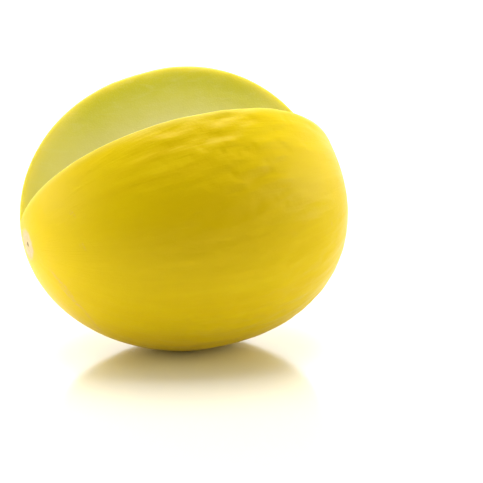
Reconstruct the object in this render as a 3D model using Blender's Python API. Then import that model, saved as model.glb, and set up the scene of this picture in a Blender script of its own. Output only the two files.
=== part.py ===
"""Canary melon with a wedge cut out of it, lying on its side on a small flat spot.

One grown piece, so one solid. The body is a turned egg-shaped profile, moved a little by hand-sized lumps and a
drooping end, with a shallow corky scar at each end. A long wedge is cut out of the top from end to end, and it opens
the seed cavity in the middle.

Metres, +Z up. +X runs along the melon towards its fatter, stem end, and the cut opens upwards. The origin is the
centre of the flat spot that the melon rests on.

The shape is described in the melon's own frame: x along its axis, and round the axis an angle that is 0 at the top
and grows towards -Y. That frame is then pitched about Y and lifted onto the flat spot.
"""

import math

import bmesh
import bpy
from mathutils import Matrix, Vector

# ---------------------------------------------------------------- body
HALF_LENGTH = 0.0917  # middle to either end, along the axis
RADIUS = 0.080  # at the middle, before the lumps
EGG = 0.0649  # how much the stem end is fatter and the blossom end is slimmer
WAIST = 0.0092
BLOSSOM_ROUNDNESS = 2.091  # exponents of the profile: 2 is an ellipse, and more is blunter
STEM_ROUNDNESS = 2.172
# The axis arches, and its stem end hangs a little.
ARCH = -0.0003
SWAY = -0.0022
DROOP = 0.0049
# Lumps: place along the axis (-1 to 1), angle round it, spread along, spread round, height.
LUMPS = (
    (0.82, 0.95, 0.40, 0.75, -0.0029),
    (0.88, 1.95, 0.40, 0.85, 0.0035),
)
# The section isn't quite round: how many waves go round it, with the cosine and sine heights of each.
SECTION_WAVES = (
    (1, -0.00064, 0.00030),
    (2, 0.00068, -0.00082),
    (3, -0.00017, -0.00005),
)
BLOSSOM_SCAR_RADIUS = 0.0086
BLOSSOM_SCAR_DEPTH = 0.0007
STEM_SCAR_RADIUS = 0.0120
STEM_SCAR_DEPTH = 0.0026

# ---------------------------------------------------------------- the cut
# Each cut is a flat plane: its angle round the axis, its offset from the axis at the middle, and how the offset grows
# along the axis.
NEAR_CUT_ANGLE = math.radians(45.5)
NEAR_CUT_OFFSET = -0.0075
NEAR_CUT_SKEW = 0.0707
FAR_CUT_ANGLE = math.radians(-24.7)
FAR_CUT_OFFSET = -0.0042
FAR_CUT_SKEW = 0.0301

# ---------------------------------------------------------------- seed cavity
CAVITY_HALF_LENGTH = 0.0560
CAVITY_RADIUS = 0.0275
CAVITY_RIDGE = 0.0016  # three ridges that carry the seeds
CAVITY_RIDGES = 3
CAVITY_MIDDLE = 0.0020  # along the axis
CAVITY_TIP_LIFT = 0.0021  # how far its two tips stand above the line where the cuts meet

# ---------------------------------------------------------------- how it lies
PITCH = math.radians(8.7)  # stem end up
FLAT_DEPTH = 0.0013  # how much the flat spot takes off the underside
FLAT_SPOT_X = 0.0022  # the flat spot's centre from the middle of the melon, level with the floor
FLAT_SPOT_Y = -0.0017

# ---------------------------------------------------------------- facets
BODY_SEGMENTS = 72
BODY_RINGS = 44
CAVITY_SEGMENTS = 36
CAVITY_RINGS = 20


def smooth(t):
    t = min(1.0, max(0.0, t))
    return t * t * (3.0 - 2.0 * t)


def profile(u):
    """Radius of the turned body at u, from -1 at the blossom end to 1 at the stem end."""
    p = BLOSSOM_ROUNDNESS + (STEM_ROUNDNESS - BLOSSOM_ROUNDNESS) * smooth((u + 0.6) / 1.2)
    return RADIUS * math.sqrt(max(0.0, 1.0 - abs(u) ** p)) * (1.0 + EGG * u + WAIST * (u * u - 0.33))


def axis_drop(u):
    return ARCH * (u * u - 0.33) + SWAY * (u**3 - 0.6 * u) + DROOP * max(0.0, u) ** 3


def lump(u, angle):
    height = 0.0
    for at, around, spread, spread_round, peak in LUMPS:
        turn = (angle - around + math.pi) % (2.0 * math.pi) - math.pi
        height += peak * math.exp(-(((u - at) / spread) ** 2) - (turn / spread_round) ** 2)
    height *= max(0.0, 1.0 - u * u) ** 0.25
    for waves, cosine, sine in SECTION_WAVES:
        height += math.sqrt(max(0.0, 1.0 - u * u)) * (cosine * math.cos(waves * angle) + sine * math.sin(waves * angle))
    return height


def scar(u, r):
    """How far the skin sinks along the axis round each end."""
    if u < 0.0:
        return BLOSSOM_SCAR_DEPTH * (1.0 - smooth(r / (1.4 * BLOSSOM_SCAR_RADIUS)))
    return -STEM_SCAR_DEPTH * (1.0 - smooth(r / (1.4 * STEM_SCAR_RADIUS)))


def on_body(u, angle):
    r = profile(u) + lump(u, angle)
    return Vector((HALF_LENGTH * u + scar(u, r), -r * math.sin(angle), r * math.cos(angle) - axis_drop(u)))


def cut_apex(x):
    """Where the two cuts meet at x, as (towards -Y, up)."""
    sn, cn = math.sin(NEAR_CUT_ANGLE), math.cos(NEAR_CUT_ANGLE)
    sf, cf = math.sin(FAR_CUT_ANGLE), math.cos(FAR_CUT_ANGLE)
    near = NEAR_CUT_OFFSET + NEAR_CUT_SKEW * x
    far = FAR_CUT_OFFSET + FAR_CUT_SKEW * x
    # cn * s - sn * z = near and cf * s - sf * z = far
    det = -cn * sf + sn * cf
    return (-near * sf + far * sn) / det, (cn * far - cf * near) / det


def turned(name, outline, segments):
    """A closed body: the outline, a list of (x, radius) from end to end, spun about X."""
    bm = bmesh.new()
    verts = [bm.verts.new((x, 0.0, r)) for x, r in outline]
    edges = [bm.edges.new(pair) for pair in zip(verts, verts[1:])]
    bmesh.ops.spin(
        bm,
        geom=verts + edges,
        cent=(0.0, 0.0, 0.0),
        axis=(1.0, 0.0, 0.0),
        angle=2.0 * math.pi,
        steps=segments,
        use_merge=False,
        use_duplicate=False,
    )
    bmesh.ops.remove_doubles(bm, verts=bm.verts, dist=1e-6)
    bmesh.ops.recalc_face_normals(bm, faces=bm.faces)
    return bm


def as_object(name, bm):
    mesh = bpy.data.meshes.new(name)
    bm.to_mesh(mesh)
    bm.free()
    obj = bpy.data.objects.new(name, mesh)
    bpy.context.scene.collection.objects.link(obj)
    return obj


def make_body():
    steps = [0.0, 0.3, 0.6] + list(range(1, BODY_RINGS)) + [BODY_RINGS - 0.6, BODY_RINGS - 0.3, BODY_RINGS]
    stations = sorted(-math.cos(math.pi * s / BODY_RINGS) for s in steps)
    bm = turned("melon", [(u, profile(u)) for u in stations], BODY_SEGMENTS)
    for v in bm.verts:
        u, angle = v.co.x, math.atan2(-v.co.y, v.co.z)
        v.co = on_body(u, angle)
    return as_object("melon", bm)


def make_wedge():
    """Cutter for the long wedge: it is larger than the body on every side."""
    bm = bmesh.new()
    reach, rings = 0.160, []
    for x in (-0.120, 0.120):
        s, z = cut_apex(x)
        apex = Vector((x, -s, z))
        near = apex + reach * Vector((0.0, -math.sin(NEAR_CUT_ANGLE), math.cos(NEAR_CUT_ANGLE)))
        far = apex + reach * Vector((0.0, -math.sin(FAR_CUT_ANGLE), math.cos(FAR_CUT_ANGLE)))
        rings.append([bm.verts.new(p) for p in (apex, near, far)])
    first, last = rings
    bm.faces.new(first)
    bm.faces.new(last[::-1])
    for i in range(3):
        j = (i + 1) % 3
        bm.faces.new((first[i], first[j], last[j], last[i]))
    bmesh.ops.recalc_face_normals(bm, faces=bm.faces)
    bmesh.ops.triangulate(bm, faces=bm.faces)
    return as_object("wedge_cutter", bm)


def make_cavity():
    """Cutter for the seed cavity. Its two tips end just above the line where the cuts meet, so no pocket is left."""
    stations = [-math.cos(math.pi * i / CAVITY_RINGS) for i in range(CAVITY_RINGS + 1)]
    outline = [(u, math.sqrt(max(0.0, 1.0 - abs(u) ** 2.4))) for u in stations]
    bm = turned("seed_cavity_cutter", outline, CAVITY_SEGMENTS)
    for v in bm.verts:
        u, angle = v.co.x, math.atan2(-v.co.y, v.co.z)
        share = math.sqrt(max(0.0, 1.0 - abs(u) ** 2.4))
        r = share * (CAVITY_RADIUS - CAVITY_RIDGE * (0.5 + 0.5 * math.cos(CAVITY_RIDGES * (angle - math.pi))))
        x = CAVITY_MIDDLE + CAVITY_HALF_LENGTH * u
        s, z = cut_apex(x)
        pull = smooth((abs(u) - 0.35) / 0.65)
        z += CAVITY_TIP_LIFT
        v.co = Vector((x, -pull * s - r * math.sin(angle), pull * z + r * math.cos(angle)))
    return as_object("seed_cavity_cutter", bm)


def make_floor_cutter(height):
    bm = bmesh.new()
    bmesh.ops.create_cube(bm, size=1.0)
    bmesh.ops.scale(bm, verts=bm.verts, vec=(0.24, 0.24, 0.04))
    bmesh.ops.translate(bm, verts=bm.verts, vec=(0.0, 0.0, height - 0.02))
    return as_object("flat_spot_cutter", bm)


def cut(target, cutters):
    """One Boolean with all the cutters, so that nothing is rounded between one cut and the next."""
    group = bpy.data.collections.new("cutters")
    bpy.context.scene.collection.children.link(group)
    for cutter in cutters:
        cutter.hide_render = True
        cutter.display_type = "WIRE"
        group.objects.link(cutter)
        bpy.context.scene.collection.objects.unlink(cutter)
    mod = target.modifiers.new("cuts", "BOOLEAN")
    mod.operation = "DIFFERENCE"
    mod.solver = "EXACT"
    mod.operand_type = "COLLECTION"
    mod.collection = group


def skin_material():
    mat = bpy.data.materials.new("rind")
    mat.use_nodes = True
    bsdf = mat.node_tree.nodes["Principled BSDF"]
    bsdf.inputs["Base Color"].default_value = (0.82, 0.60, 0.02, 1.0)
    bsdf.inputs["Roughness"].default_value = 0.42
    bsdf.inputs["Metallic"].default_value = 0.0
    return mat


for old in list(bpy.data.objects):
    bpy.data.objects.remove(old, do_unlink=True)

melon = make_body()
wedge = make_wedge()
cavity = make_cavity()

# Lay the melon down: pitch it about Y, stem end up, and find its underside.
pitch = Matrix.Rotation(-PITCH, 4, "Y")
for obj in (melon, wedge, cavity):
    obj.data.transform(pitch)
underside = min(v.co.z for v in melon.data.vertices)
flat = make_floor_cutter(underside + FLAT_DEPTH)

# The origin is the flat spot's centre.
to_floor = Matrix.Translation((-FLAT_SPOT_X, -FLAT_SPOT_Y, -(underside + FLAT_DEPTH)))
for obj in (melon, wedge, cavity, flat):
    obj.data.transform(to_floor)

cut(melon, (wedge, cavity, flat))

melon.data.materials.append(skin_material())
melon.data.shade_smooth()
melon.data.set_sharp_from_angle(angle=math.radians(35.0))
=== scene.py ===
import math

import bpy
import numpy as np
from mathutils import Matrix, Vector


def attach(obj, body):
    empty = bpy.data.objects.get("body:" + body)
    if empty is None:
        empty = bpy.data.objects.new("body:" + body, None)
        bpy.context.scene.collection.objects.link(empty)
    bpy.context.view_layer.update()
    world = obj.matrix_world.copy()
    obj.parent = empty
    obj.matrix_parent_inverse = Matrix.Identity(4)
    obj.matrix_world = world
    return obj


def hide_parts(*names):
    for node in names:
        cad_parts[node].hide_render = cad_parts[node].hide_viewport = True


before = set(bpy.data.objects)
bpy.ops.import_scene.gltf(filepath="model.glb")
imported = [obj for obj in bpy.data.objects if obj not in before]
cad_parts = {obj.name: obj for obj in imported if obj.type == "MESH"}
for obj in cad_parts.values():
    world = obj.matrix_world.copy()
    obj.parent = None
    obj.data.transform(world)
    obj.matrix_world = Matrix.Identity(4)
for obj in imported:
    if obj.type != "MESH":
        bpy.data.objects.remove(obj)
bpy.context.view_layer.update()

# Looks of a canary melon that lies on its side with a long wedge cut out of it: one fine closed mesh of rind, flesh and
# seed cavity, the strands of pulp and the seeds on the cavity's walls, and a plain pale studio.
#
# The melon's own frame: x along its axis, and round the axis an angle that is 0 at the top and grows towards -Y. A point
# there is (x, s, z), with s towards -Y. It is pitched about Y and lifted onto its flat spot at the end.

# ---------------------------------------------------------------- the melon's shape, as in the CAD
HALF_LENGTH, RADIUS, EGG, WAIST = 0.0917, 0.080, 0.0649, 0.0092
BLOSSOM_ROUNDNESS, STEM_ROUNDNESS = 2.091, 2.172
ARCH, SWAY, DROOP = -0.0003, -0.0022, 0.0049
LUMPS = ((0.82, 0.95, 0.40, 0.75, -0.0029), (0.88, 1.95, 0.40, 0.85, 0.0035))
SECTION_WAVES = ((1, -0.00064, 0.00030), (2, 0.00068, -0.00082), (3, -0.00017, -0.00005))
BLOSSOM_SCAR_RADIUS, BLOSSOM_SCAR_DEPTH = 0.0086, 0.0007
STEM_SCAR_RADIUS, STEM_SCAR_DEPTH = 0.0120, 0.0026
NEAR_CUT = (math.radians(45.5), -0.0075, 0.0707)  # angle, offset at the middle, skew
FAR_CUT = (math.radians(-24.7), -0.0042, 0.0301)
CAVITY_HALF_LENGTH, CAVITY_RADIUS, CAVITY_RIDGE, CAVITY_MIDDLE, CAVITY_TIP_LIFT = 0.056, 0.0275, 0.0016, 0.002, 0.0021
PITCH = math.radians(8.7)
LIFT = Vector((-0.0022, 0.0017, 0.079537))

# ---------------------------------------------------------------- how fine the mesh is
STATIONS, SKIN, FACE, CAVITY = 236, 226, 42, 126
BEVEL = 0.0010

rng = np.random.default_rng(11)


def smooth(t):
    t = np.clip(t, 0.0, 1.0)
    return t * t * (3.0 - 2.0 * t)


# ---------------------------------------------------------------- gradient noise, about -1 to 1
GRADIENTS = np.array(
    [(1, 1, 0), (-1, 1, 0), (1, -1, 0), (-1, -1, 0), (1, 0, 1), (-1, 0, 1), (1, 0, -1), (-1, 0, -1),
     (0, 1, 1), (0, -1, 1), (0, 1, -1), (0, -1, -1), (1, 1, 0), (-1, 1, 0), (0, -1, 1), (0, -1, -1)], float)


def bump(x, y, z, seed=0):
    x, y, z = np.broadcast_arrays(np.asarray(x, float), np.asarray(y, float), np.asarray(z, float))
    p = np.stack([x, y, z], axis=-1)
    cell = np.floor(p).astype(np.int64)
    f = p - cell
    w = f * f * f * (f * (f * 6.0 - 15.0) + 10.0)
    total = np.zeros(x.shape)
    for dx in (0, 1):
        for dy in (0, 1):
            for dz in (0, 1):
                h = (cell[..., 0] + dx) * 73856093 ^ (cell[..., 1] + dy) * 19349663 ^ (cell[..., 2] + dz) * 83492791
                h = (h ^ (seed * 2654435761)) & 0xFFFFFFFF
                h = ((h ^ (h >> 15)) * 2246822519) & 0xFFFFFFFF
                h = ((h ^ (h >> 13)) * 3266489917) & 0xFFFFFFFF
                g = GRADIENTS[(h ^ (h >> 16)) & 15]
                dot = g[..., 0] * (f[..., 0] - dx) + g[..., 1] * (f[..., 1] - dy) + g[..., 2] * (f[..., 2] - dz)
                total += (
                    np.where(dx, w[..., 0], 1 - w[..., 0])
                    * np.where(dy, w[..., 1], 1 - w[..., 1])
                    * np.where(dz, w[..., 2], 1 - w[..., 2])
                    * dot
                )
    return total * 1.15


# ---------------------------------------------------------------- the body
def profile(u):
    p = BLOSSOM_ROUNDNESS + (STEM_ROUNDNESS - BLOSSOM_ROUNDNESS) * smooth((u + 0.6) / 1.2)
    return RADIUS * np.sqrt(np.clip(1.0 - np.abs(u) ** p, 0.0, 1.0)) * (1.0 + EGG * u + WAIST * (u * u - 0.33))


def axis_drop(u):
    return ARCH * (u * u - 0.33) + SWAY * (u**3 - 0.6 * u) + DROOP * np.maximum(0.0, u) ** 3


def wrinkles(u, angle):
    """Lengthwise creases and shallow dents of the rind, inwards. They run from pole to pole and fade at both ends."""
    ca, sa = np.cos(angle), np.sin(angle)
    sway = 0.055 * bump(u * 2.2 + 3.43, ca * 2.4 + 0.31, sa * 2.4 + 0.67, 3)
    sway = sway + 0.016 * bump(u * 6.0 + 0.29, ca * 6.0 + 0.83, sa * 6.0 + 0.47, 4)
    ca, sa = np.cos(angle + sway), np.sin(angle + sway)
    wide = bump(u * 2.6 + 7.23, ca * 6.5 + 0.37, sa * 6.5 + 0.71, 5)
    crease = bump(u * 4.4 + 1.61, ca * 14.0 + 0.41, sa * 14.0 + 0.73, 6)
    groove = 1.0 - smooth(np.abs(bump(u * 4.0 + 5.37, ca * 11.0 + 0.59, sa * 11.0 + 0.19, 10)) / 0.20)
    fine = bump(u * 9.0 + 3.83, ca * 24.0 + 0.23, sa * 24.0 + 0.61, 7)
    dents = bump(u * 3.4 + 2.47, ca * 5.5 + 0.77, sa * 5.5 + 0.33, 8)
    # More creased towards the stem end and the upper half, almost smooth by the blossom end.
    where = 0.30 + 0.70 * smooth((u + 0.65) / 0.70)
    where = where * (0.74 + 0.45 * bump(u * 1.7 + 0.57, ca * 1.6 + 0.29, sa * 1.6 + 0.81, 9)) * (0.86 + 0.20 * ca)
    fade = np.clip(1.0 - u * u, 0.0, 1.0) ** 0.8
    # Flatter where the far cut leaves the skin.
    turn = (angle + 0.47 + math.pi) % (2 * math.pi) - math.pi
    where = where * (1.0 - 0.62 * np.exp(-((turn / 0.42) ** 2)))
    depth = 0.00026 * wide + 0.00110 * crease + 0.00036 * fine + 0.00018 * dents - 0.00055 * groove
    return fade * where * (depth - 0.00050)


def skin_radius(u, angle):
    height = 0.0
    for at, around, spread, spread_round, peak in LUMPS:
        turn = (angle - around + math.pi) % (2.0 * math.pi) - math.pi
        height = height + peak * np.exp(-(((u - at) / spread) ** 2) - (turn / spread_round) ** 2)
    height = height * np.clip(1.0 - u * u, 0.0, 1.0) ** 0.25
    for waves, cosine, sine in SECTION_WAVES:
        height = height + np.sqrt(np.clip(1.0 - u * u, 0.0, 1.0)) * (
            cosine * np.cos(waves * angle) + sine * np.sin(waves * angle)
        )
    return profile(u) + height + wrinkles(u, angle)


def scar(u, r):
    blossom = BLOSSOM_SCAR_DEPTH * (1.0 - smooth(r / (1.4 * BLOSSOM_SCAR_RADIUS)))
    stem = -STEM_SCAR_DEPTH * (1.0 - smooth(r / (1.4 * STEM_SCAR_RADIUS))) - 0.00020 * smooth((u - 0.84) / 0.12)
    return np.where(u < 0.0, blossom, stem)


def on_skin(u, angle):
    r = np.maximum(skin_radius(u, angle), 0.0)
    return np.stack(
        [HALF_LENGTH * u + scar(u, r), r * np.sin(angle), r * np.cos(angle) - axis_drop(u)], axis=-1
    )


# ---------------------------------------------------------------- the cuts and the cavity
def side(cut, p):
    """How far a point is from a cut's plane, along cos(angle) s - sin(angle) z."""
    angle, offset, skew = cut
    return math.cos(angle) * p[..., 1] - math.sin(angle) * p[..., 2] - offset - skew * p[..., 0]


def apex(x):
    sn, cn = math.sin(NEAR_CUT[0]), math.cos(NEAR_CUT[0])
    sf, cf = math.sin(FAR_CUT[0]), math.cos(FAR_CUT[0])
    near, far = NEAR_CUT[1] + NEAR_CUT[2] * x, FAR_CUT[1] + FAR_CUT[2] * x
    det = sn * cf - cn * sf
    return np.stack([x + 0.0 * near, (far * sn - near * sf) / det, (cn * far - cf * near) / det], axis=-1)


def solve(f, low, high):
    """Where f rises through 0 between low and high, by halving."""
    low, high = np.array(low, float), np.array(high, float)
    for _ in range(40):
        mid = (low + high) / 2
        below = f(mid) < 0
        low, high = np.where(below, mid, low), np.where(below, high, mid)
    return (low + high) / 2


def cavity_frame(x):
    """(centre s, centre z, share of the full radius) of the cavity at x."""
    v = np.clip((x - CAVITY_MIDDLE) / CAVITY_HALF_LENGTH, -1.0, 1.0)
    share = np.sqrt(np.clip(1.0 - np.abs(v) ** 2.4, 0.0, 1.0))
    pull = smooth((np.abs(v) - 0.35) / 0.65)
    tip = apex(x)
    return pull * tip[..., 1], pull * (tip[..., 2] + CAVITY_TIP_LIFT), share


def cavity_radius(x, angle):
    """The cavity's wall, with three soft ridges that carry the seeds, and the rags of pulp on it."""
    share = cavity_frame(x)[2]
    ridge = 0.5 + 0.5 * np.cos(3 * (angle - math.pi))
    r = CAVITY_RADIUS - CAVITY_RIDGE * ridge
    k = 1000.0
    s, z = r * np.sin(angle), r * np.cos(angle)
    wave = 0.00125 * bump(x * k / 17, s * k / 13, z * k / 13, 21)
    wave = wave + 0.00105 * bump(x * k / 8.5, s * k / 7.5, z * k / 7.5, 22)
    rags = 1.0 - 2.0 * np.abs(bump(x * k / 7.0, s * k / 5.0, z * k / 5.0, 23))
    wave = wave - 0.00080 * rags + 0.00030 * bump(x * k / 2.6, s * k / 2.4, z * k / 2.4, 24)
    # The pulp stands off the wall in a furrowed crest along each ridge.
    crest = ridge**3 * (0.55 + 0.45 * bump(x * k / 6.0, 0.3 * s * k / 6, 0.3 * z * k / 6, 25))
    return share * (r - 0.0022 * crest + wave)


# ---------------------------------------------------------------- stations along the axis
def radius_gap(u, end):
    """How far the skin stands outside the line where the cuts meet."""
    tip = apex(HALF_LENGTH * u)
    r = np.hypot(tip[..., 1], tip[..., 2] + axis_drop(u))
    return skin_radius(u, np.arctan2(tip[..., 1], tip[..., 2] + axis_drop(u))) - r


blossom_start = float(solve(lambda u: radius_gap(u, -1), np.array([-0.9999]), np.array([-0.90]))[0])
stem_start = -float(solve(lambda u: radius_gap(-u, 1), np.array([-0.9999]), np.array([-0.90]))[0])

turns = list(np.linspace(0.0, math.pi, STATIONS))
for start in (blossom_start, stem_start):
    t0 = math.acos(-start)
    inwards = 1.0 if start < 0 else -1.0
    turns += [t0] + [t0 + inwards * step for step in (0.0008, 0.0022, 0.0045, 0.0075)]
turns += [0.004, 0.009, math.pi - 0.004, math.pi - 0.009]
exact = {round(math.acos(-blossom_start), 9), round(math.acos(-stem_start), 9)}
kept = []
for t in sorted(turns):
    if kept and t - kept[-1] < 0.0006:
        if round(t, 9) in exact:
            kept[-1] = t
        continue
    kept.append(t)
u = -np.cos(np.array(kept))
n = len(u)
x_line = HALF_LENGTH * u

tip = apex(x_line)
tip_angle = np.arctan2(tip[:, 1], tip[:, 2] + axis_drop(u))
open_here = (u > blossom_start + 1e-7) & (u < stem_start - 1e-7)
near_angle = solve(lambda a: side(NEAR_CUT, on_skin(u, a)), np.full(n, NEAR_CUT[0] - 1.6), np.full(n, NEAR_CUT[0] + 1.5))
far_angle = solve(lambda a: side(FAR_CUT, on_skin(u, a)), np.full(n, FAR_CUT[0] - 1.5), np.full(n, FAR_CUT[0] + 1.5))
# Where the line of the two cuts is outside the skin there is no cut: both rims close on one seam.
seam = {
    -1: float(tip_angle[np.argmin(np.abs(u - blossom_start))]),
    1: float(tip_angle[np.argmin(np.abs(u - stem_start))]),
}
closed_angle = np.where(u < 0, seam[-1], seam[1])
near_angle = np.where(open_here, near_angle, closed_angle)
far_angle = np.where(open_here, far_angle, closed_angle)
rim_near, rim_far = on_skin(u, near_angle), on_skin(u, far_angle)
foot = tip.copy()
shift = smooth((np.abs(u) - 0.93) / 0.05) * scar(u, np.hypot(tip[:, 1], tip[:, 2] + axis_drop(u)))
foot = apex(x_line + shift)
foot[~open_here] = rim_near[~open_here]

# ---------------------------------------------------------------- the cavity's edges on the two cut faces
cs, cz, share = cavity_frame(foot[:, 0])
reach_down = np.hypot(foot[:, 1] - cs, foot[:, 2] - cz)
down = np.arctan2(foot[:, 1] - cs, foot[:, 2] - cz)
v_line = (foot[:, 0] - CAVITY_MIDDLE) / CAVITY_HALF_LENGTH
hollow = open_here & (np.abs(v_line) < 1.0)
hollow &= cavity_radius(foot[:, 0], down) > reach_down + 2e-5


def cavity_point(x, angle):
    s0, z0, _ = cavity_frame(x)
    r = cavity_radius(x, angle)
    return np.stack([x + 0 * r, s0 + r * np.sin(angle), z0 + r * np.cos(angle)], axis=-1)


edge_near = solve(
    lambda a: side(NEAR_CUT, cavity_point(foot[:, 0], a)), np.full(n, NEAR_CUT[0] - 1.55), np.full(n, NEAR_CUT[0] + 1.55)
)
edge_far = solve(
    lambda a: side(FAR_CUT, cavity_point(foot[:, 0], a)), np.full(n, FAR_CUT[0] - 1.55), np.full(n, FAR_CUT[0] + 1.55)
)
inner_near = np.where(hollow[:, None], cavity_point(foot[:, 0], edge_near), foot)
inner_far = np.where(hollow[:, None], cavity_point(foot[:, 0], edge_far), foot)

# ---------------------------------------------------------------- the loops
REFERENCE_NEAR, REFERENCE_FAR = math.radians(42.0), math.radians(-27.0)


def skin_angles(first, last):
    """Angles round the outside, from the near rim under the melon to the far rim. The middle ones don't move."""
    k = np.linspace(0.0, 1.0, SKIN)[None, :]
    base = REFERENCE_NEAR + k * (REFERENCE_FAR + 2 * math.pi - REFERENCE_NEAR)
    w_near = np.clip(1.0 - k / 0.36, 0.0, 1.0) ** 2
    w_far = np.clip(1.0 - (1.0 - k) / 0.36, 0.0, 1.0) ** 2
    return base + (first[:, None] - REFERENCE_NEAR) * w_near + (last[:, None] - REFERENCE_FAR) * w_far


def length(v):
    return np.linalg.norm(v, axis=-1)


bevel_near = np.minimum(BEVEL, 0.16 * length(rim_near - inner_near))
bevel_far = np.minimum(BEVEL, 0.16 * length(rim_far - inner_far))
r_near = np.maximum(skin_radius(u, near_angle), 1e-4)
r_far = np.maximum(skin_radius(u, far_angle), 1e-4)
angles = skin_angles(near_angle + bevel_near / r_near, far_angle - bevel_far / r_far)
skin = on_skin(u[:, None], angles)


def along(a, b):
    """Unit vector from a to b, or 0 where they meet."""
    d = b - a
    size = length(d)
    return np.where(size[:, None] > 1e-9, d / np.maximum(size, 1e-9)[:, None], 0.0)


def corner(p0, p1, p2, t):
    return (1 - t) ** 2 * p0 + 2 * t * (1 - t) * p1 + t**2 * p2


face_near_start = rim_near + along(rim_near, inner_near) * bevel_near[:, None]
face_far_start = rim_far + along(rim_far, inner_far) * bevel_far[:, None]

# Rows across a cut face: close together by the rind, and again by the cavity.
steps = np.linspace(0.0, 1.0, FACE)
steps = 0.42 * steps + 0.58 * steps**1.9
steps = steps / steps[-1]


def cut_face(start, end, cut, seed):
    """Points from the rind to the cavity on one cut face, with what a knife and wet flesh leave on it."""
    t = steps[None, :, None]
    p = start[:, None, :] * (1 - t) + end[:, None, :] * t
    angle = cut[0]
    sign = 1.0 if cut is NEAR_CUT else -1.0
    normal = np.array([-cut[2], math.cos(angle), -math.sin(angle)]) * -sign
    normal = normal / np.linalg.norm(normal)
    across = length(p - start[:, None, :])
    left = length(p - end[:, None, :])
    hold = smooth(across / 0.0016) * smooth(left / 0.0012)
    k = 1000.0
    x, s, z = p[..., 0], p[..., 1], p[..., 2]
    knife = 0.00010 * bump(x * k / 30 + across * k / 22, across * k / 9, 0.5 + seed, 31)
    grain = 0.00005 * bump(x * k / 5.0, s * k / 3.0, z * k / 3.0, 32 + seed)
    pores = 0.00003 * bump(x * k / 1.9, s * k / 1.9, z * k / 1.9, 34 + seed)
    sag = -0.00028 * smooth(across / 0.012) * smooth(left / 0.010)  # wet flesh sinks a little between rind and core
    lip = -0.0009 * smooth(1.0 - left / 0.0026) ** 2 * smooth(length(end - start) / 0.02)[:, None]
    return p + normal * ((knife + grain + pores + sag) * hold + lip * (left > 0))[..., None], across, left


near_face, near_across, near_left = cut_face(face_near_start, inner_near, NEAR_CUT, 0)
far_face, far_across, far_left = cut_face(face_far_start, inner_far, FAR_CUT, 1)

near_corner = [corner(skin[:, 0], rim_near, near_face[:, 0], t) for t in (0.33, 0.67)]
far_corner = [corner(skin[:, -1], rim_far, far_face[:, 0], t) for t in (0.33, 0.67)]

arc = np.linspace(0.0, 1.0, CAVITY + 2)[1:-1][None, :]
cavity_angles = (edge_far + 2 * math.pi)[:, None] * (1 - arc) + edge_near[:, None] * arc
cavity = cavity_point(foot[:, 0][:, None], cavity_angles)
cavity = np.where(hollow[:, None, None], cavity, foot[:, None, :])
# The cavity starts where each cut face's last row really is, after the lip.
ease = smooth(np.minimum(arc, 1 - arc) * (CAVITY + 1) / 5.0)
cavity[..., 1:] += (
    ((far_face[:, -1] - inner_far)[:, None, :] * (1 - smooth(arc * (CAVITY + 1) / 5.0))[..., None])[..., 1:]
    + ((near_face[:, -1] - inner_near)[:, None, :] * (1 - smooth((1 - arc) * (CAVITY + 1) / 5.0))[..., None])[..., 1:]
)

loops = np.concatenate(
    [
        skin,
        far_corner[0][:, None],
        far_corner[1][:, None],
        far_face,
        cavity,
        near_face[:, ::-1],
        near_corner[1][:, None],
        near_corner[0][:, None],
    ],
    axis=1,
)
columns = loops.shape[1]
skin_end = SKIN
face_far_at = SKIN + 2
cavity_at = face_far_at + FACE
face_near_at = cavity_at + CAVITY
corner_near_at = face_near_at + FACE

# ---------------------------------------------------------------- what the materials read at each point
depth = np.zeros((n, columns))
lx, ls, lz = loops[..., 0], loops[..., 1], loops[..., 2]
point_u = np.clip(lx / HALF_LENGTH, -0.9995, 0.9995)
point_angle = np.arctan2(ls, lz + axis_drop(point_u))
point_r = np.hypot(ls, lz + axis_drop(point_u))
outer_r = skin_radius(point_u, point_angle)
slope = (profile(np.clip(point_u + 0.004, -1, 1)) - profile(np.clip(point_u - 0.004, -1, 1))) / (0.008 * HALF_LENGTH)
depth = np.clip((outer_r - point_r) / np.sqrt(1.0 + slope**2), 0.0, None)
depth[:, :skin_end] = 0.0

pulp = np.zeros((n, columns))
pulp[:, cavity_at:face_near_at] = hollow[:, None] * 1.0
for at, left, order in ((face_far_at, far_left, 1), (face_near_at, near_left[:, ::-1], -1)):
    block = slice(at, at + FACE)
    ragged = 0.0016 + 0.0013 * bump(lx[:, block] * 260, ls[:, block] * 260, lz[:, block] * 260, 41)
    pulp[:, block] = hollow[:, None] * (1.0 - smooth((left - 0.0004) / np.maximum(ragged, 0.0005)))

cork = np.zeros((n, columns))
ragged_r = point_r * (1.0 + 0.10 * bump(3 * np.cos(point_angle), 3 * np.sin(point_angle), 0.5, 43))
ragged_r = ragged_r * (1.0 + 0.06 * bump(9 * np.cos(point_angle), 9 * np.sin(point_angle), 0.5, 44))
cork = np.where(
    lx < 0,
    1.0 - smooth((ragged_r - 0.80 * BLOSSOM_SCAR_RADIUS) / (0.30 * BLOSSOM_SCAR_RADIUS)),
    1.0 - smooth((ragged_r - 0.78 * STEM_SCAR_RADIUS) / (0.30 * STEM_SCAR_RADIUS)),
)
cork = cork * (np.abs(lx) > 0.80 * HALF_LENGTH)
cork[:, skin_end:] *= (1.0 - smooth(depth[:, skin_end:] / 0.0012))

# Where the flesh is paler: towards both ends, and on the near cut, which shows less of the painted glow than the far
# cut.
pale = 0.80 * smooth((-point_u - 0.30) / 0.42) + 0.60 * smooth((point_u - 0.55) / 0.30)
pale[:, face_near_at:corner_near_at] = np.maximum(0.6 * pale[:, face_near_at:corner_near_at], 0.28)
pale[:, corner_near_at:] = pale[:, corner_near_at - 1 : corner_near_at]
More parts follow.
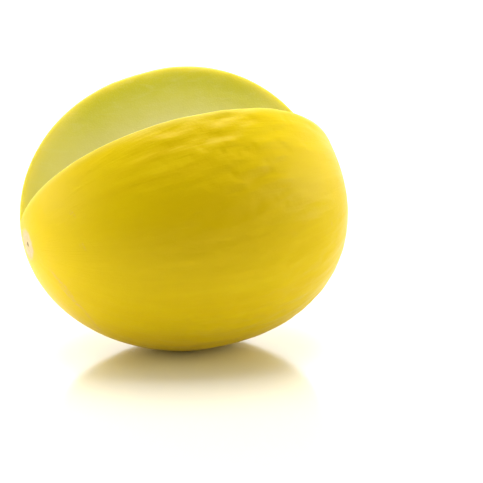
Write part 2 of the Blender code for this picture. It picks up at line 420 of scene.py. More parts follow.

# Painted shade on the rind: the middle of both flanks is darker, as the near flank's middle lies in shade. It is darker
# still on the far side and round the stem end.
flank = (np.abs(np.abs(np.mod(point_angle + math.pi, 2 * math.pi) - math.pi) - math.radians(82.0))) / math.radians(24.0)
painted_flank_shade = np.exp(-((point_u + 0.02) / 0.60) ** 2 - flank**2)
far_side = smooth((-np.sin(point_angle) - 0.45) / 0.40) * np.where(point_u < 0.0, smooth((0.93 + point_u) / 0.30), 1.0)
far_side = np.maximum(far_side, 0.9 * smooth((point_u - 0.935) / 0.040))
# Painted shade: the flesh's material darkens the near cut face with this mask.
near_face = np.zeros((n, columns))
near_face[:, face_near_at:corner_near_at] = smooth(near_across[:, ::-1] / 0.004)

grain = np.stack([point_u, np.cos(point_angle), np.sin(point_angle)], axis=-1)
share_r = point_r / np.where(lx < 0, BLOSSOM_SCAR_RADIUS, STEM_SCAR_RADIUS)
scar_round = np.stack([share_r, np.cos(point_angle), np.sin(point_angle)], axis=-1)

# Scuffs where the melon lay or was rubbed: from and to along the axis, from and to round it, half width, strength.
SCUFFS = (
    (-0.950, -0.835, 117.0, 140.0, 0.0012, 0.70),
    (-0.920, -0.705, 128.0, 158.0, 0.0014, 0.75),
    (-0.830, -0.690, 167.0, 163.0, 0.0013, 0.70),
    (-0.860, -0.760, 136.0, 149.0, 0.0009, 0.60),
    (-0.826, -0.806, 61.0, 64.0, 0.0009, 0.45),
    (-0.818, -0.798, 84.0, 86.0, 0.0009, 0.45),
    (0.636, 0.656, 97.0, 98.5, 0.0008, 0.60),
    (0.100, 0.420, 228.0, 232.0, 0.0011, 0.40),
    (-0.480, -0.260, 262.0, 265.0, 0.0010, 0.40),
    (0.300, 0.400, 205.0, 207.0, 0.0013, 0.35),
    (0.760, 0.850, 150.0, 156.0, 0.0011, 0.45),
    (0.820, 0.900, 236.0, 229.0, 0.0010, 0.45),
)
scuff = np.zeros((n, columns))
for u0, u1, a0, a1, width, power in SCUFFS:
    t = np.clip((point_u - u0) / (u1 - u0), -0.4, 1.4)
    middle = np.radians(a0 + (a1 - a0) * t + 1.3 * np.sin(9 * t + 7 * u0))
    away = (point_angle - middle + math.pi) % (2 * math.pi) - math.pi
    ends = smooth((t + 0.10) / 0.25) * smooth((1.10 - t) / 0.25)
    scuff = np.maximum(scuff, power * ends * np.exp(-((away * np.maximum(point_r, 0.01) / width) ** 2)))
scuff[:, skin_end:] = 0.0

# How near the cut's edge the skin is: a thin pale band there is a painted highlight.
rim = np.zeros((n, columns))
to_rim = np.minimum(length(skin - rim_near[:, None, :]), length(skin - rim_far[:, None, :]))
rim[:, :skin_end] = np.exp(-((to_rim / 0.0024) ** 2)) * open_here[:, None]

# ---------------------------------------------------------------- the body mesh
pitch = np.array(Matrix.Rotation(-PITCH, 3, "Y"))


def to_row(p):
    """From the melon's own (x, s, z) to the row frame."""
    xyz = np.stack([p[..., 0], -p[..., 1], p[..., 2]], axis=-1)
    return xyz @ pitch.T + np.array(LIFT)


def add_mesh(name, points, quads, body="root"):
    mesh = bpy.data.meshes.new(name)
    mesh.from_pydata(points.tolist(), [], quads)
    mesh.validate()
    mesh.update()
    obj = bpy.data.objects.new(name, mesh)
    bpy.context.scene.collection.objects.link(obj)
    mesh.shade_smooth()
    return obj


flat = to_row(loops).reshape(-1, 3)
flat[:, 2] = np.maximum(flat[:, 2], 0.0)

# Points that lie together become one.
key = np.round(flat / 2e-6).astype(np.int64)
_, first, inverse = np.unique(key, axis=0, return_index=True, return_inverse=True)
inverse = inverse.reshape(-1)
i = np.arange(n - 1)[:, None]
j = np.arange(columns)[None, :]
corners = np.stack(
    [i * columns + j, i * columns + (j + 1) % columns, (i + 1) * columns + (j + 1) % columns, (i + 1) * columns + j],
    axis=-1,
).reshape(-1, 4)
column_of = np.broadcast_to(j, (n - 1, columns)).reshape(-1)
faces, groups = [], []
for quad, column in zip(inverse[corners].tolist(), column_of.tolist()):
    ring = [a for k_, a in enumerate(quad) if a != quad[k_ - 1]]
    if len(set(ring)) < 3 or len(set(ring)) != len(ring):
        continue
    faces.append(ring)
    groups.append(0 if column < skin_end or column == columns - 1 else 1)
body = add_mesh("melon_body", flat[first], faces)
mesh = body.data


def store(name, values, kind="FLOAT"):
    """Keeps a value per point for the materials."""
    attribute = mesh.attributes.new(name, kind, "POINT")
    if kind == "FLOAT":
        attribute.data.foreach_set("value", np.ascontiguousarray(values.reshape(-1)[first], np.float32))
    else:
        attribute.data.foreach_set("vector", np.ascontiguousarray(values.reshape(-1, 3)[first], np.float32).reshape(-1))


store("depth_mm", depth * 1000.0)
store("pulp", pulp)
store("cork", cork)
store("scuff", scuff)
store("rim", rim)
store("pale", pale)
store("painted_flank_shade", painted_flank_shade)
store("far_side", far_side)
store("near_face", near_face)
store("scar_round", scar_round, "FLOAT_VECTOR")
store("grain", grain, "FLOAT_VECTOR")
mesh.polygons.foreach_set("material_index", np.array(groups[: len(mesh.polygons)], np.int32))


# ---------------------------------------------------------------- node helpers
class Nodes:
    """A short way to write node trees."""

    def __init__(self, name):
        self.material = bpy.data.materials.new(name)
        self.material.use_nodes = True
        self.tree = self.material.node_tree
        self.shader = self.tree.nodes["Principled BSDF"]

    def node(self, kind, inputs=None, **settings):
        made = self.tree.nodes.new(kind)
        for key_, value in settings.items():
            setattr(made, key_, value)
        for socket, value in (inputs or {}).items():
            self.feed(made.inputs[socket], value)
        return made

    def feed(self, socket, value):
        if isinstance(value, bpy.types.NodeSocket):
            self.tree.links.new(value, socket)
        elif isinstance(value, bpy.types.Node):
            self.tree.links.new(value.outputs[0], socket)
        else:
            socket.default_value = value

    def attribute(self, name, output="Fac"):
        return self.node("ShaderNodeAttribute", attribute_name=name).outputs[output]

    def place(self):
        return self.node("ShaderNodeTexCoord").outputs["Object"]

    def scaled(self, vector, scale):
        return self.node("ShaderNodeMapping", {"Vector": vector, "Scale": scale}).outputs[0]

    def noise(self, vector, scale, detail=3.0, roughness=0.5, distortion=0.0):
        return self.node(
            "ShaderNodeTexNoise",
            {"Vector": vector, "Scale": scale, "Detail": detail, "Roughness": roughness, "Distortion": distortion},
        ).outputs["Fac"]

    def math(self, operation, a, b=0.5, c=None, clamp=False):
        made = self.node("ShaderNodeMath", operation=operation, use_clamp=clamp)
        self.feed(made.inputs[0], a)
        self.feed(made.inputs[1], b)
        if c is not None:
            self.feed(made.inputs[2], c)
        return made.outputs[0]

    def remap(self, value, a, b, low=0.0, high=1.0, smooth_=False):
        return self.node(
            "ShaderNodeMapRange",
            {"Value": value, "From Min": a, "From Max": b, "To Min": low, "To Max": high},
            interpolation_type="SMOOTHSTEP" if smooth_ else "LINEAR",
        ).outputs[0]

    def mix(self, share_, a, b, blend="MIX"):
        made = self.node("ShaderNodeMix", data_type="RGBA", blend_type=blend)
        self.feed(made.inputs[0], share_)
        self.feed(made.inputs[6], a)
        self.feed(made.inputs[7], b)
        return made.outputs[2]

    def ramp(self, value, stops, mode="LINEAR"):
        made = self.node("ShaderNodeValToRGB", {"Fac": value})
        ramp = made.color_ramp
        ramp.interpolation = mode
        while len(ramp.elements) < len(stops):
            ramp.elements.new(0.5)
        for element, (at, colour) in zip(ramp.elements, stops):
            element.position = at
            element.color = colour
        return made.outputs[0]

    def bump(self, height, strength, distance, normal=None):
        inputs = {"Height": height, "Strength": strength, "Distance": distance}
        if normal is not None:
            inputs["Normal"] = normal
        return self.node("ShaderNodeBump", inputs).outputs[0]

    def set(self, **values):
        for name_, value in values.items():
            self.feed(self.shader.inputs[name_.replace("_", " ")], value)


def colour(r, g, b):
    """sRGB 0-255 to linear."""
    def one(c):
        c /= 255.0
        return c / 12.92 if c <= 0.04045 else ((c + 0.055) / 1.055) ** 2.4
    return (one(r), one(g), one(b), 1.0)


# ---------------------------------------------------------------- rind
def rind_material():
    m = Nodes("rind_waxy_yellow")
    place = m.place()
    grain_ = m.attribute("grain", "Vector")
    streak = m.noise(m.scaled(grain_, (1.6, 9.0, 9.0)), 1.0, 4.0, 0.55, 0.4)
    fine_streak = m.noise(m.scaled(grain_, (7.0, 52.0, 52.0)), 1.0, 3.0, 0.6, 0.3)
    cloud = m.noise(place, 26.0, 3.0, 0.5)
    base = m.ramp(
        m.remap(streak, 0.30, 0.72, smooth_=True),
        [(0.0, (0.650, 0.458, 0.0008, 1)), (0.5, (0.664, 0.478, 0.0010, 1)), (1.0, (0.680, 0.500, 0.0018, 1))],
    )
    base = m.mix(m.remap(cloud, 0.42, 0.72, 0.0, 0.35), base, (0.665, 0.490, 0.0012, 1))
    base = m.mix(m.remap(fine_streak, 0.55, 0.80, 0.0, 0.18), base, (0.71, 0.54, 0.006, 1))
    # Painted shade: the middle of both flanks is darker olive.
    base = m.mix(m.math("MULTIPLY", m.attribute("painted_flank_shade"), 0.95), base, (0.572, 0.398, 0.0008, 1))
    # Darker on the far side and round the stem end.
    base = m.mix(m.attribute("far_side"), base, m.ramp(streak, [(0.30, (0.505, 0.338, 0.0008, 1)), (0.70, (0.560, 0.385, 0.0012, 1))]))
    # Tiny pale pores.
    axis = m.math("ABSOLUTE", m.node("ShaderNodeSeparateXYZ", {"Vector": grain_}).outputs[0])
    base = m.mix(m.remap(axis, 0.45, 0.88, 0.0, 0.85, True), base, (0.664, 0.478, 0.0010, 1))
    pores = m.node("ShaderNodeTexVoronoi", {"Vector": place, "Scale": 620.0}, feature="F1").outputs["Distance"]
    base = m.mix(m.remap(pores, 0.10, 0.26, 0.12, 0.0, True), base, (0.73, 0.58, 0.04, 1))
    # Painted highlight: a thin pale band along the cut's edge.
    base = m.mix(m.math("MULTIPLY", m.attribute("rim"), 0.62), base, (0.80, 0.67, 0.115, 1))
    # Faint scuffs, pinkish brown.
    scuff = m.math("MULTIPLY", m.attribute("scuff"), m.remap(m.noise(m.scaled(place, (420, 900, 900)), 1.0, 4.0, 0.7), 0.42, 0.60))
    base = m.mix(scuff, base, (0.60, 0.36, 0.13, 1))
    # Dry corky skin round both ends: rings and fine cracks at the stem end, a pale smooth button at the other.
    cork_ = m.attribute("cork")
    around = m.attribute("scar_round", "Vector")
    rings = m.noise(m.scaled(around, (9.0, 1.3, 1.3)), 1.0, 3.0, 0.6, 0.6)
    rays = m.noise(m.scaled(around, (1.2, 9.0, 9.0)), 1.0, 4.0, 0.65, 0.5)
    cork_noise = m.math("ADD", m.math("MULTIPLY", rings, 0.55), m.math("MULTIPLY", rays, 0.45))
    cork_colour = m.ramp(
        cork_noise, [(0.36, (0.26, 0.17, 0.085, 1)), (0.46, (0.44, 0.31, 0.17, 1)), (0.54, (0.56, 0.43, 0.26, 1)), (0.66, (0.66, 0.54, 0.36, 1))]
    )
    from_centre = m.node("ShaderNodeSeparateXYZ", {"Vector": around}).outputs[0]
    cork_colour = m.mix(m.remap(from_centre, 0.22, 0.42, 0.62, 0.0, True), cork_colour, (0.20, 0.125, 0.06, 1))
    button = m.mix(m.remap(cork_noise, 0.40, 0.62), (0.60, 0.45, 0.23, 1), (0.70, 0.57, 0.34, 1))
    button = m.mix(m.remap(from_centre, 0.10, 0.20, 0.85, 0.0, True), button, (0.16, 0.095, 0.05, 1))
    at_blossom = m.math("LESS_THAN", m.node("ShaderNodeSeparateXYZ", {"Vector": grain_}).outputs[0], 0.0)
    base = m.mix(cork_, base, m.mix(at_blossom, cork_colour, button))
    height = m.math("ADD", m.math("MULTIPLY", fine_streak, 0.5), m.math("MULTIPLY", pores, -0.10))
    normal = m.bump(height, 0.45, 0.0008)
    normal = m.bump(m.math("MULTIPLY", cork_noise, cork_), 0.9, 0.0010, normal)
    micro = m.noise(place, 2600.0, 2.0, 0.5)
    normal = m.bump(micro, 0.10, 0.00008, normal)
    rough = m.math("ADD", m.remap(streak, 0.3, 0.7, 0.38, 0.30), m.math("MULTIPLY", cork_, 0.35))
    m.set(Base_Color=base, Roughness=rough, Normal=normal)
    m.set(Subsurface_Weight=0.12, Subsurface_Radius=(0.9, 0.62, 0.10), Subsurface_Scale=0.0016)
    m.set(Specular_IOR_Level=0.08, IOR=1.46, Coat_Weight=0.045, Coat_Roughness=0.24, Coat_IOR=1.42)
    return m.material


# ---------------------------------------------------------------- flesh and the cavity's lining
def flesh_material():
    m = Nodes("flesh_and_pulp")
    place = m.place()
    depth_ = m.attribute("depth_mm")
    uneven = m.noise(place, 95.0, 3.0, 0.5)
    wobble = m.math("ADD", depth_, m.math("MULTIPLY", m.math("SUBTRACT", uneven, 0.5), m.remap(depth_, 0.8, 8.0, 0.2, 7.0)))
    # The flesh's colour by depth from the rind. Its deep yellow-green by the rind is partly the flesh's own colour and
    # partly a painted glow of light through the rind and between the cut faces.
    base = m.ramp(
        m.math("DIVIDE", wobble, 60.0),
        [
            (0.000, (0.74, 0.60, 0.060, 1)),
            (0.016, (0.76, 0.66, 0.110, 1)),
            (0.030, (0.74, 0.645, 0.058, 1)),
            (0.065, (0.625, 0.565, 0.028, 1)),
            (0.135, (0.560, 0.522, 0.032, 1)),
            (0.300, (0.605, 0.562, 0.092, 1)),
            (0.480, (0.65, 0.61, 0.200, 1)),
            (0.680, (0.70, 0.65, 0.310, 1)),
            (0.850, (0.73, 0.67, 0.390, 1)),
        ],
        "B_SPLINE",
    )
    # Paler towards both ends and on the near cut, with less of the painted glow.
    base = m.mix(m.math("MULTIPLY", m.attribute("pale"), m.remap(depth_, 0.6, 3.0)), base, m.ramp(
        m.math("DIVIDE", wobble, 60.0),
        [(0.0, (0.77, 0.67, 0.115, 1)), (0.12, (0.725, 0.655, 0.150, 1)), (0.45, (0.72, 0.665, 0.280, 1)), (0.85, (0.73, 0.67, 0.390, 1))],
    ))
    # Painted shade: the near cut face is darkened.
    base = m.mix(m.attribute("near_face"), base, (0.80, 0.81, 0.66, 1), "MULTIPLY")
    # Faint veins of paler flesh, finer towards the core.
    veins = m.noise(m.scaled(place, (60, 240, 240)), 1.0, 4.0, 0.6, 0.8)
    base = m.mix(m.remap(veins, 0.50, 0.75, 0.0, 0.16), base, (0.74, 0.71, 0.33, 1))
    cells = m.node("ShaderNodeTexVoronoi", {"Vector": place, "Scale": 1100.0}, feature="F1").outputs["Distance"]
    base = m.mix(m.remap(cells, 0.05, 0.45, 0.08, 0.0), base, (0.78, 0.75, 0.42, 1))
    # Pulp: cream to golden, its own colour, and darker golden in the hollows of its bumps as painted shade.
    pulp_ = m.attribute("pulp")
    rags = m.noise(m.scaled(place, (150, 210, 210)), 1.0, 5.0, 0.62, 1.2)
    pulp_colour = m.ramp(
        rags,
        [(0.28, (0.90, 0.55, 0.14, 1)), (0.40, (0.95, 0.71, 0.25, 1)), (0.54, (0.97, 0.81, 0.37, 1)), (0.74, (0.98, 0.90, 0.56, 1))],
    )
    strings = m.noise(m.scaled(place, (420, 700, 700)), 1.0, 3.0, 0.6, 2.0)
    pulp_colour = m.mix(m.remap(strings, 0.52, 0.72, 0.0, 0.5), pulp_colour, (0.98, 0.90, 0.58, 1))
    base = m.mix(pulp_, base, pulp_colour)
    cork_ = m.attribute("cork")
    base = m.mix(cork_, base, (0.55, 0.40, 0.22, 1))
    wet = m.noise(place, 420.0, 3.0, 0.55)
    height = m.math("ADD", m.math("MULTIPLY", cells, -0.5), m.math("MULTIPLY", veins, 0.6))
    normal = m.bump(height, 0.22, 0.0004)
    normal = m.bump(m.math("MULTIPLY", m.math("ADD", rags, m.math("MULTIPLY", strings, 0.6)), pulp_), 1.0, 0.0022, normal)
    m.set(Base_Color=base, Roughness=m.remap(wet, 0.35, 0.65, 0.30, 0.46), Normal=normal)
    m.set(Subsurface_Weight=0.6, Subsurface_Radius=(1.0, 0.85, 0.35), Subsurface_Scale=0.006)
    m.set(Specular_IOR_Level=0.42, IOR=1.38, Coat_Weight=0.10, Coat_Roughness=0.22)
    return m.material


mesh.materials.append(rind_material())
mesh.materials.append(flesh_material())
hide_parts("melon")
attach(body, "root")

# ---------------------------------------------------------------- strands of pulp on the cavity's walls
hollow_rows = np.nonzero(hollow)[0]
wall = cavity[hollow_rows]  # stations x arc, in the melon's own frame
wall_along = np.gradient(wall, axis=0)
wall_round = np.gradient(wall, axis=1)
wall_normal = np.cross(wall_along, wall_round)
wall_normal /= np.maximum(length(wall_normal), 1e-12)[..., None]
centre = wall.mean(axis=1, keepdims=True)
facing = np.sum(wall_normal * (centre - wall), axis=-1, keepdims=True)
wall_normal *= np.where(facing < 0, -1.0, 1.0)


def wall_at(a, b):
    """Point and normal on the cavity's wall, at station a and arc place b, as fractions 0 to 1."""
    fa, fb = np.clip(a, 0, 1) * (wall.shape[0] - 1), np.clip(b, 0, 1) * (wall.shape[1] - 1)
    ia, ib = np.minimum(fa.astype(int), wall.shape[0] - 2), np.minimum(fb.astype(int), wall.shape[1] - 2)
    wa, wb = (fa - ia)[..., None], (fb - ib)[..., None]

    def blend_(grid):
        return (
            grid[ia, ib] * (1 - wa) * (1 - wb)
            + grid[ia + 1, ib] * wa * (1 - wb)
            + grid[ia, ib + 1] * (1 - wa) * wb
            + grid[ia + 1, ib + 1] * wa * wb
        )

    normal = blend_(wall_normal)
    return blend_(wall), normal / np.maximum(length(normal), 1e-9)[..., None]


def tube(points, radii, sides=6):
    """A closed tapering tube along points: (vertices, faces)."""
    tangent = np.gradient(points, axis=0)
    tangent /= np.maximum(length(tangent), 1e-12)[:, None]
    up = np.array([0.31, 0.42, 0.85])
    first_ = np.cross(tangent[0], up)
    first_ /= np.linalg.norm(first_)
    frames = [first_]
    for k_ in range(1, len(points)):
        f = frames[-1] - tangent[k_] * np.dot(frames[-1], tangent[k_])
        frames.append(f / max(np.linalg.norm(f), 1e-9))
    frames = np.array(frames)
    other = np.cross(tangent, frames)
    theta = np.arange(sides) * 2 * math.pi / sides
    rings = (
        points[:, None, :]
        + radii[:, None, None] * (np.cos(theta)[None, :, None] * frames[:, None, :] + np.sin(theta)[None, :, None] * other[:, None, :])
    ).reshape(-1, 3)
    vertices = np.concatenate([rings, points[:1] - tangent[:1] * radii[0], points[-1:] + tangent[-1:] * radii[-1]])
    made = []
    count = len(points)
    for a in range(count - 1):
        for b in range(sides):
            c = (b + 1) % sides
            made.append([a * sides + b, a * sides + c, (a + 1) * sides + c, (a + 1) * sides + b])
    start, stop = count * sides, count * sides + 1
    for b in range(sides):
        c = (b + 1) % sides
        made.append([c, b, start])
        made.append([(count - 1) * sides + b, (count - 1) * sides + c, stop])
    return vertices, made


def gather(parts):
    """Many (vertices, faces) as one."""
    vertices, made, offset = [], [], 0
    for v, f in parts:
        vertices.append(v)
        made += [[a + offset for a in face] for face in f]
        offset += len(v)
    return np.concatenate(vertices), made


strands = []
for _ in range(260):
    a0, b0 = rng.uniform(0.03, 0.97), rng.uniform(0.02, 0.98)
    along_wall = rng.normal(0.0, 0.10)
    round_wall = rng.choice([-1, 1]) * rng.uniform(0.06, 0.20)
    t = np.linspace(0.0, 1.0, 15)
    wob = rng.uniform(0.4, 1.4)
    a = a0 + along_wall * t + 0.012 * np.sin(wob * 7 * t + rng.uniform(0, 6)) + 0.006 * np.sin(wob * 17 * t + rng.uniform(0, 6))
    b = b0 + round_wall * t + 0.010 * np.sin(wob * 9 * t + rng.uniform(0, 6))
    a, b = np.clip(a, 0.01, 0.99), np.clip(b, 0.012, 0.988)
    p, nrm = wall_at(a, b)
    lift = rng.uniform(0.0, 0.0011) * np.sin(math.pi * t) - 0.00012
    p = p + nrm * lift[:, None]
    radius = rng.uniform(0.00022, 0.00060) * (0.35 + 0.65 * np.sin(math.pi * np.clip(t, 0.04, 0.96)) ** 0.7)
    strands.append(tube(p, radius * (1 + 0.25 * np.sin(23 * t + rng.uniform(0, 6)))))
points, made = gather(strands)
strand_object = add_mesh("pulp_strands", to_row(points), made)

# ---------------------------------------------------------------- seeds
SEED_LENGTH, SEED_WIDTH, SEED_THICK = 0.0103, 0.0046, 0.0017


def seed_mesh():
    """A drop-shaped flat seed along +X, with a pointed end and a rim, about the origin."""
    along_, round_ = 15, 14
    vertices, made = [], []
    for k_ in range(1, along_):
        t = k_ / along_
        c = 0.5 - 0.5 * math.cos(math.pi * t)
        half = math.sin(math.pi * c ** 0.78) ** 0.72 * (0.62 + 0.38 * smooth(c / 0.55))
        for q in range(round_):
            w = 2 * math.pi * q / round_
            y = math.cos(w)
            z = math.sin(w)
            rim = abs(y) ** 6
            vertices.append(
                ((0.5 - c) * SEED_LENGTH * -1, y * half * SEED_WIDTH / 2,
                 math.copysign(abs(z) ** 0.80, z) * half ** 0.8 * SEED_THICK / 2 * (1 - 0.25 * rim))
            )
    vertices.append((-0.5 * SEED_LENGTH, 0, 0))
    vertices.append((0.5 * SEED_LENGTH, 0, 0))
    rows = along_ - 1
    for a in range(rows - 1):
        for b in range(round_):
            c = (b + 1) % round_
            made.append([a * round_ + b, a * round_ + c, (a + 1) * round_ + c, (a + 1) * round_ + b])
    for b in range(round_):
        c = (b + 1) % round_
        made.append([c, b, rows * round_])
        made.append([(rows - 1) * round_ + b, (rows - 1) * round_ + c, rows * round_ + 1])
    return np.array(vertices), made


seed_vertices, seed_faces = seed_mesh()
seeds = []
placed = []
arc_angle = cavity_angles[hollow_rows]
for ridge, direction in ((math.pi, 1), (math.pi, -1), (math.radians(60), 1), (math.radians(300), -1)):
    for row, offset in enumerate((0.22, 0.50)):
        for k_ in range(26):
            a = (k_ + 0.5 + rng.uniform(-0.38, 0.38) + 0.5 * row) / 26.5
            if not 0.07 < a < 0.93 or rng.random() < 0.10 + 0.15 * row:
                continue
            station = int(round(a * (wall.shape[0] - 1)))
            wanted = ridge + direction * (offset + rng.uniform(-0.09, 0.09))
            b = float(np.interp(-wanted, -arc_angle[station], np.linspace(0, 1, CAVITY)))
            if not 0.03 < b < 0.97:
                continue
            p, nrm = wall_at(np.array([a]), np.array([b]))
            p, nrm = p[0], nrm[0]
            if any(np.linalg.norm(p - q) < 0.0040 for q in placed):
                continue
            placed.append(p)
            ahead, _ = wall_at(np.array([a]), np.array([min(b + 0.02, 0.99)]))
            toward = (ahead[0] - p) * direction
            toward -= nrm * np.dot(toward, nrm)
            toward /= max(np.linalg.norm(toward), 1e-9)
            sideways = np.cross(nrm, toward)
            turn = rng.normal(0.0, 0.42)
            toward, sideways = (
                toward * math.cos(turn) + sideways * math.sin(turn),
                sideways * math.cos(turn) - toward * math.sin(turn),
            )
            tilt = rng.uniform(-0.10, 0.42)
            toward, upward = toward * math.cos(tilt) + nrm * math.sin(tilt), nrm * math.cos(tilt) - toward * math.sin(tilt)
            roll = rng.normal(0.0, 0.28)
            sideways, upward = sideways * math.cos(roll) + upward * math.sin(roll), upward * math.cos(roll) - sideways * math.sin(roll)
            size = rng.uniform(0.86, 1.08)
            where_ = p + nrm * (0.0006 + 0.5 * SEED_LENGTH * math.sin(max(tilt, 0)) * 0.6)
            basis = np.stack([toward, sideways, upward])
            seeds.append(((seed_vertices * size) @ basis + where_, seed_faces))
points, made = gather(seeds)
seed_object = add_mesh("seeds", to_row(points), made)
print("seeds", len(seeds), "body faces", len(faces), "strand faces", len(strand_object.data.polygons))


def pulp_material():
    m = Nodes("pulp_strand")
    place = m.place()
    tone = m.noise(place, 160.0, 4.0, 0.6)
    base = m.ramp(tone, [(0.30, (0.93, 0.70, 0.28, 1)), (0.48, (0.96, 0.82, 0.44, 1)), (0.66, (0.98, 0.90, 0.60, 1))])
    fine = m.noise(place, 1500.0, 3.0, 0.6)
    m.set(Base_Color=base, Roughness=m.remap(fine, 0.3, 0.7, 0.20, 0.36), Normal=m.bump(fine, 0.4, 0.0002))
    m.set(Subsurface_Weight=0.5, Subsurface_Radius=(1.0, 0.7, 0.3), Subsurface_Scale=0.003)
    m.set(Specular_IOR_Level=0.35, IOR=1.38, Coat_Weight=0.12, Coat_Roughness=0.15)
    return m.material


def seed_material():
    m = Nodes("seed_cream")
    place = m.place()
    tone = m.noise(place, 130.0, 3.0, 0.5)
    fine = m.noise(m.scaled(place, (900, 900, 900)), 1.0, 4.0, 0.6)
    base = m.ramp(tone, [(0.30, (0.91, 0.76, 0.45, 1)), (0.50, (0.94, 0.83, 0.55, 1)), (0.70, (0.96, 0.89, 0.68, 1))])
    base = m.mix(m.remap(fine, 0.55, 0.8, 0.0, 0.35), base, (0.80, 0.60, 0.32, 1))
    m.set(Base_Color=base, Roughness=m.remap(fine, 0.3, 0.7, 0.20, 0.34), Normal=m.bump(fine, 0.25, 0.0002))
    m.set(Subsurface_Weight=0.25, Subsurface_Radius=(1.0, 0.7, 0.35), Subsurface_Scale=0.0015)
    m.set(IOR=1.42, Coat_Weight=0.45, Coat_Roughness=0.10)
    return m.material


strand_object.data.materials.append(pulp_material())
seed_object.data.materials.append(seed_material())
for piece, slot in ((strand_object, "pulp"), (seed_object, "seed")):
    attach(piece, "root")

# ---------------------------------------------------------------- floor
floor_mesh = bpy.data.meshes.new("studio_floor")
floor_mesh.from_pydata([(-6, -6, -0.0002), (6, -6, -0.0002), (6, 6, -0.0002), (-6, 6, -0.0002)], [], [(0, 1, 2, 3)])
floor = bpy.data.objects.new("studio_floor", floor_mesh)
bpy.context.scene.collection.objects.link(floor)
m = Nodes("floor_white_gloss")
haze = m.noise(m.place(), 7.0, 2.0, 0.5)
# Warmer where the rind's own light falls on it.
near_melon = m.node("ShaderNodeVectorMath", {"Vector": m.scaled(m.place(), (0.85, 1.0, 1.0))}, operation="LENGTH").outputs["Value"]
floor_colour = m.mix(haze, (0.945, 0.925, 0.825, 1), (0.955, 0.935, 0.840, 1))
floor_colour = m.mix(m.remap(near_melon, 0.030, 0.085, 1.0, 0.0, True), floor_colour, (0.945, 0.900, 0.560, 1))
m.set(Base_Color=floor_colour, Roughness=m.remap(haze, 0.3, 0.7, 0.13, 0.145))
m.set(IOR=1.9, Coat_Weight=0.2, Coat_IOR=1.7, Coat_Roughness=0.12)
floor_mesh.materials.append(m.material)

# ---------------------------------------------------------------- soft studio light
world = bpy.data.worlds.new("studio")
bpy.context.scene.world = world
world.use_nodes = True
tree = world.node_tree
tree.nodes.clear()
out = tree.nodes.new("ShaderNodeOutputWorld")
lit, seen, either, path = (tree.nodes.new(k_) for k_ in (
    "ShaderNodeBackground", "ShaderNodeBackground", "ShaderNodeMixShader", "ShaderNodeLightPath"))
seen.inputs["Color"].default_value = (1, 1, 1, 1)
seen.inputs["Strength"].default_value = 1.05
coordinate = tree.nodes.new("ShaderNodeTexCoord")
split = tree.nodes.new("ShaderNodeSeparateXYZ")
tree.links.new(coordinate.outputs["Generated"], split.inputs[0])


def world_math(operation, a, b):
    made_ = tree.nodes.new("ShaderNodeMath")
    made_.operation = operation
    for socket, value in zip(made_.inputs, (a, b)):
        if isinstance(value, bpy.types.NodeSocket):
            tree.links.new(value, socket)
        else:
            socket.default_value = value
    return made_.outputs[0]


# Soft light from each side of the studio. The camera stands VIEW_YAW round towards -X from -Y.
VIEW_YAW = 0.405697
LIGHT = (
    ("light_front", (-math.sin(VIEW_YAW), -math.cos(VIEW_YAW), 0.0), 0.04, 2.0),
    ("light_back", (math.sin(VIEW_YAW), math.cos(VIEW_YAW), 0.0), 2.10, 2.0),
    ("light_left", (-math.cos(VIEW_YAW), math.sin(VIEW_YAW), 0.0), 5.8, 7.0),
    ("light_right", (math.cos(VIEW_YAW), -math.sin(VIEW_YAW), 0.0), 6.2, 7.0),
    ("light_top", (0.0, 0.0, 1.0), 0.42, 2.0),
)
strength = None
for name, (dx, dy, dz), power, narrow in LIGHT:
    facing_ = world_math("ADD", world_math("MULTIPLY", split.outputs["X"], dx), world_math("MULTIPLY", split.outputs["Y"], dy))
    facing_ = world_math("ADD", facing_, world_math("MULTIPLY", split.outputs["Z"], dz))
    facing_ = world_math("POWER", world_math("MAXIMUM", facing_, 0.0), narrow)
    facing_ = world_math("MULTIPLY", facing_, power)
    facing_.node.name = name
    strength = facing_ if strength is None else world_math("ADD", strength, facing_)
lit.inputs["Color"].default_value = (1.0, 1.0, 1.0, 1)
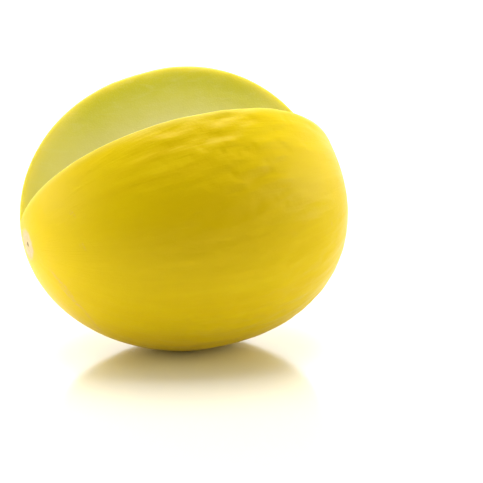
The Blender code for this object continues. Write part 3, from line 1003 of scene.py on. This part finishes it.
tree.links.new(strength, lit.inputs["Strength"])
tree.links.new(path.outputs["Is Camera Ray"], either.inputs[0])
tree.links.new(lit.outputs[0], either.inputs[1])
tree.links.new(seen.outputs[0], either.inputs[2])
tree.links.new(either.outputs[0], out.inputs[0])


def softbox(name, place, target, width, height, power):
    light = bpy.data.lights.new(name, "AREA")
    light.shape = "RECTANGLE"
    light.size, light.size_y, light.energy = width, height, power
    obj = bpy.data.objects.new(name, light)
    obj.location = place
    obj.rotation_euler = (Vector(target) - Vector(place)).to_track_quat("-Z", "Y").to_euler()
    bpy.context.scene.collection.objects.link(obj)
    return obj


softbox("softbox_top", (0.06, 0.16, 1.12), (0, 0, 0.05), 1.0, 0.8, 15.0)
# A small light straight down on the floor beside the blossom end, so that the floor lights the underside there.
low = softbox("softbox_low", (-0.335, 0.045, 0.30), (-0.335, 0.045, 0.0), 0.22, 0.22, 0.62)
low.data.spread = math.radians(80)

# ---------------------------------------------------------------- camera
ELEVATION, FOCAL, CENTRE_X, CENTRE_Y, DISTANCE = math.radians(12.5), 1976.35, 182.36, 205.12, 1.1
e, yaw = ELEVATION, VIEW_YAW
forward = Vector((math.sin(yaw) * math.cos(e), math.cos(yaw) * math.cos(e), -math.sin(e)))
right = Vector((math.cos(yaw), -math.sin(yaw), 0.0))
upward = right.cross(forward)
x0 = (CENTRE_X - 241.5) / FOCAL * DISTANCE
y0 = -(CENTRE_Y - 241.5) / FOCAL * DISTANCE
camera_data = bpy.data.cameras.new("camera")
camera_data.sensor_width = 36.0
camera_data.lens = FOCAL / 483.0 * 36.0
camera_data.clip_start, camera_data.clip_end = 0.05, 50.0
camera = bpy.data.objects.new("camera", camera_data)
camera.location = LIFT - (x0 * right + y0 * upward + DISTANCE * forward)
camera.rotation_mode = "QUATERNION"
camera.rotation_quaternion = forward.to_track_quat("-Z", "Y")
bpy.context.scene.collection.objects.link(camera)
bpy.context.scene.camera = camera

bpy.context.scene.view_settings.view_transform = "Standard"
bpy.context.scene.view_settings.look = "None"
